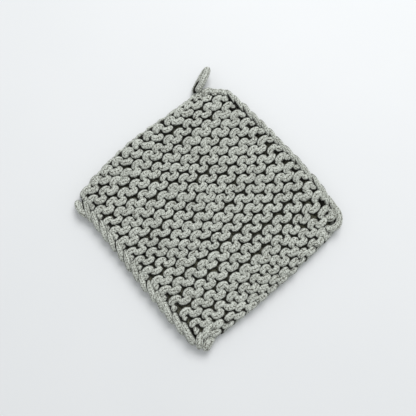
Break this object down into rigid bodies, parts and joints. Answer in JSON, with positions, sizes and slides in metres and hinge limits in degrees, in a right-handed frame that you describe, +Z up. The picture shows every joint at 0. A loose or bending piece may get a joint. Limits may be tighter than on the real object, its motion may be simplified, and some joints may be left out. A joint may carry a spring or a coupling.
{
  "type": "pot holder",
  "caption": "Square garter-stitch pot holder knitted in thick soft cotton cord, lying flat, with a cord hanging loop at one corner.",
  "frame": {"origin": "on the flat underside, near the middle of the square, where it lies on the table", "axes": "+Z up through the thickness; +Y towards the corner that carries the hanging loop, along the square's diagonal"},
  "size_m": [0.2552, 0.2769, 0.0182],
  "materials": {
    "panel_cord": "matt soft grey-green cotton cord",
    "loop_cord": "matt soft grey-green cotton cord"
  },
  "bodies": {
    "root": {"knitted_panel": "panel_cord", "hanging_loop": "loop_cord"}
  },
  "joints": []
}
